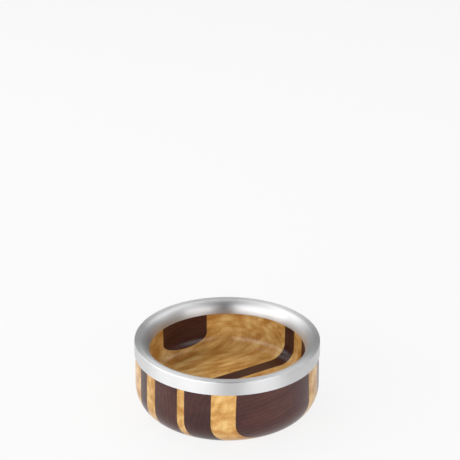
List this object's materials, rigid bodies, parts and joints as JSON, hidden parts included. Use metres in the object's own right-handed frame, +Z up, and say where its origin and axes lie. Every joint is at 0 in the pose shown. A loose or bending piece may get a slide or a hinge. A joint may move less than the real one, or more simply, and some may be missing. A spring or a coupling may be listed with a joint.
{
  "type": "wine bottle coaster",
  "caption": "Shallow round wooden dish of dark and light laminated boards with a rolled satin steel rim, a flat floor for one bottle and a felt underside.",
  "frame": {"origin": "centre of the felt face that the coaster stands on", "axes": "+Z up along the axis of the turned dish; -Y towards the side with the widest dark face, +X to its right"},
  "size_m": [0.1328, 0.1328, 0.0542],
  "materials": {
    "dark_wood": "oiled, low sheen",
    "light_wood": "oiled, low sheen",
    "satin_steel": "satin",
    "adhesive": "cured resin",
    "felt": "wool felt"
  },
  "bodies": {
    "root": {"board_1_dark_cap": "dark_wood", "board_2_light": "light_wood", "board_3_dark": "dark_wood", "board_4_light_narrow": "light_wood", "board_5_dark_wide": "dark_wood", "board_6_light": "light_wood", "board_7_dark": "dark_wood", "board_8_light_wide": "light_wood", "board_9_dark_cap": "dark_wood", "rim_ring": "satin_steel", "rim_bond": "adhesive", "felt_disc": "felt"}
  },
  "joints": []
}
